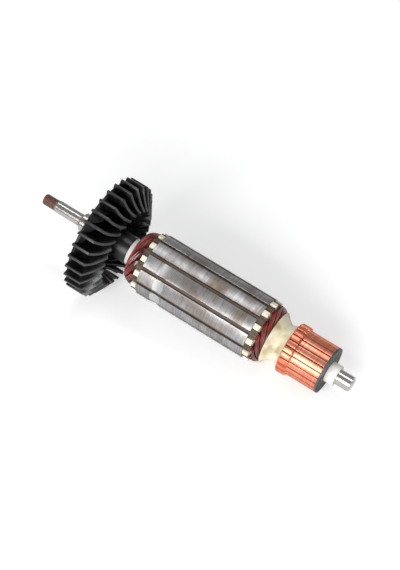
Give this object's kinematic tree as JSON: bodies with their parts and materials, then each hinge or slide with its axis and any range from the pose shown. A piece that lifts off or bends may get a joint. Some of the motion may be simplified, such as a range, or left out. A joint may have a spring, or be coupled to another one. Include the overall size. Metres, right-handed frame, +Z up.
{
  "type": "motor armature",
  "caption": "Wound armature of a small commutator motor with cooling fan, slotted core, copper commutator and ground shaft ends.",
  "frame": {"origin": "on the shaft axis at the middle of the drive bearing seat", "axes": "+Z up, +X along the object towards its commutator end; the shaft dips towards the commutator because the part lies on its fan's vane tips and the commutator's end ring"},
  "size_m": [0.1809, 0.0628, 0.0634],
  "materials": {
    "steel_shaft": "ground",
    "black_nylon": "satin",
    "lamination_steel": "turned",
    "white_insulator": "matt",
    "slot_paper": "matt",
    "enamelled_wire": "varnished",
    "lead_cement": "glossy",
    "commutator_moulding": "satin",
    "commutator_copper": "turned",
    "white_sleeve": "satin"
  },
  "bodies": {
    "root": {"shaft": "steel_shaft", "cooling_fan": "black_nylon", "shaft_sleeve": "white_insulator", "lamination_stack": "lamination_steel", "drive_end_insulator": "white_insulator", "commutator_end_insulator": "white_insulator", "slot_liners": "slot_paper", "slot_wedge_1": "slot_paper", "slot_wedge_2": "slot_paper", "slot_wedge_3": "slot_paper", "slot_wedge_4": "slot_paper", "slot_wedge_5": "slot_paper", "slot_wedge_6": "slot_paper", "slot_wedge_7": "slot_paper", "slot_wedge_8": "slot_paper", "slot_wedge_9": "slot_paper", "slot_wedge_10": "slot_paper", "slot_wedge_11": "slot_paper", "slot_wedge_12": "slot_paper", "coil_1": "enamelled_wire", "coil_2": "enamelled_wire", "coil_3": "enamelled_wire", "coil_4": "enamelled_wire", "coil_5": "enamelled_wire", "coil_6": "enamelled_wire", "coil_7": "enamelled_wire", "coil_8": "enamelled_wire", "coil_9": "enamelled_wire", "coil_10": "enamelled_wire", "coil_11": "enamelled_wire", "coil_12": "enamelled_wire", "lead_cement": "lead_cement", "commutator_moulding": "commutator_moulding", "end_sleeve": "white_sleeve", "commutator_bar_1": "commutator_copper", "commutator_bar_2": "commutator_copper", "commutator_bar_3": "commutator_copper", "commutator_bar_4": "commutator_copper", "commutator_bar_5": "commutator_copper", "commutator_bar_6": "commutator_copper", "commutator_bar_7": "commutator_copper", "commutator_bar_8": "commutator_copper", "commutator_bar_9": "commutator_copper", "commutator_bar_10": "commutator_copper", "commutator_bar_11": "commutator_copper", "commutator_bar_12": "commutator_copper", "commutator_bar_13": "commutator_copper", "commutator_bar_14": "commutator_copper", "commutator_bar_15": "commutator_copper", "commutator_bar_16": "commutator_copper", "commutator_bar_17": "commutator_copper", "commutator_bar_18": "commutator_copper", "commutator_bar_19": "commutator_copper", "commutator_bar_20": "commutator_copper", "commutator_bar_21": "commutator_copper", "commutator_bar_22": "commutator_copper", "commutator_bar_23": "commutator_copper", "commutator_bar_24": "commutator_copper"}
  },
  "joints": []
}
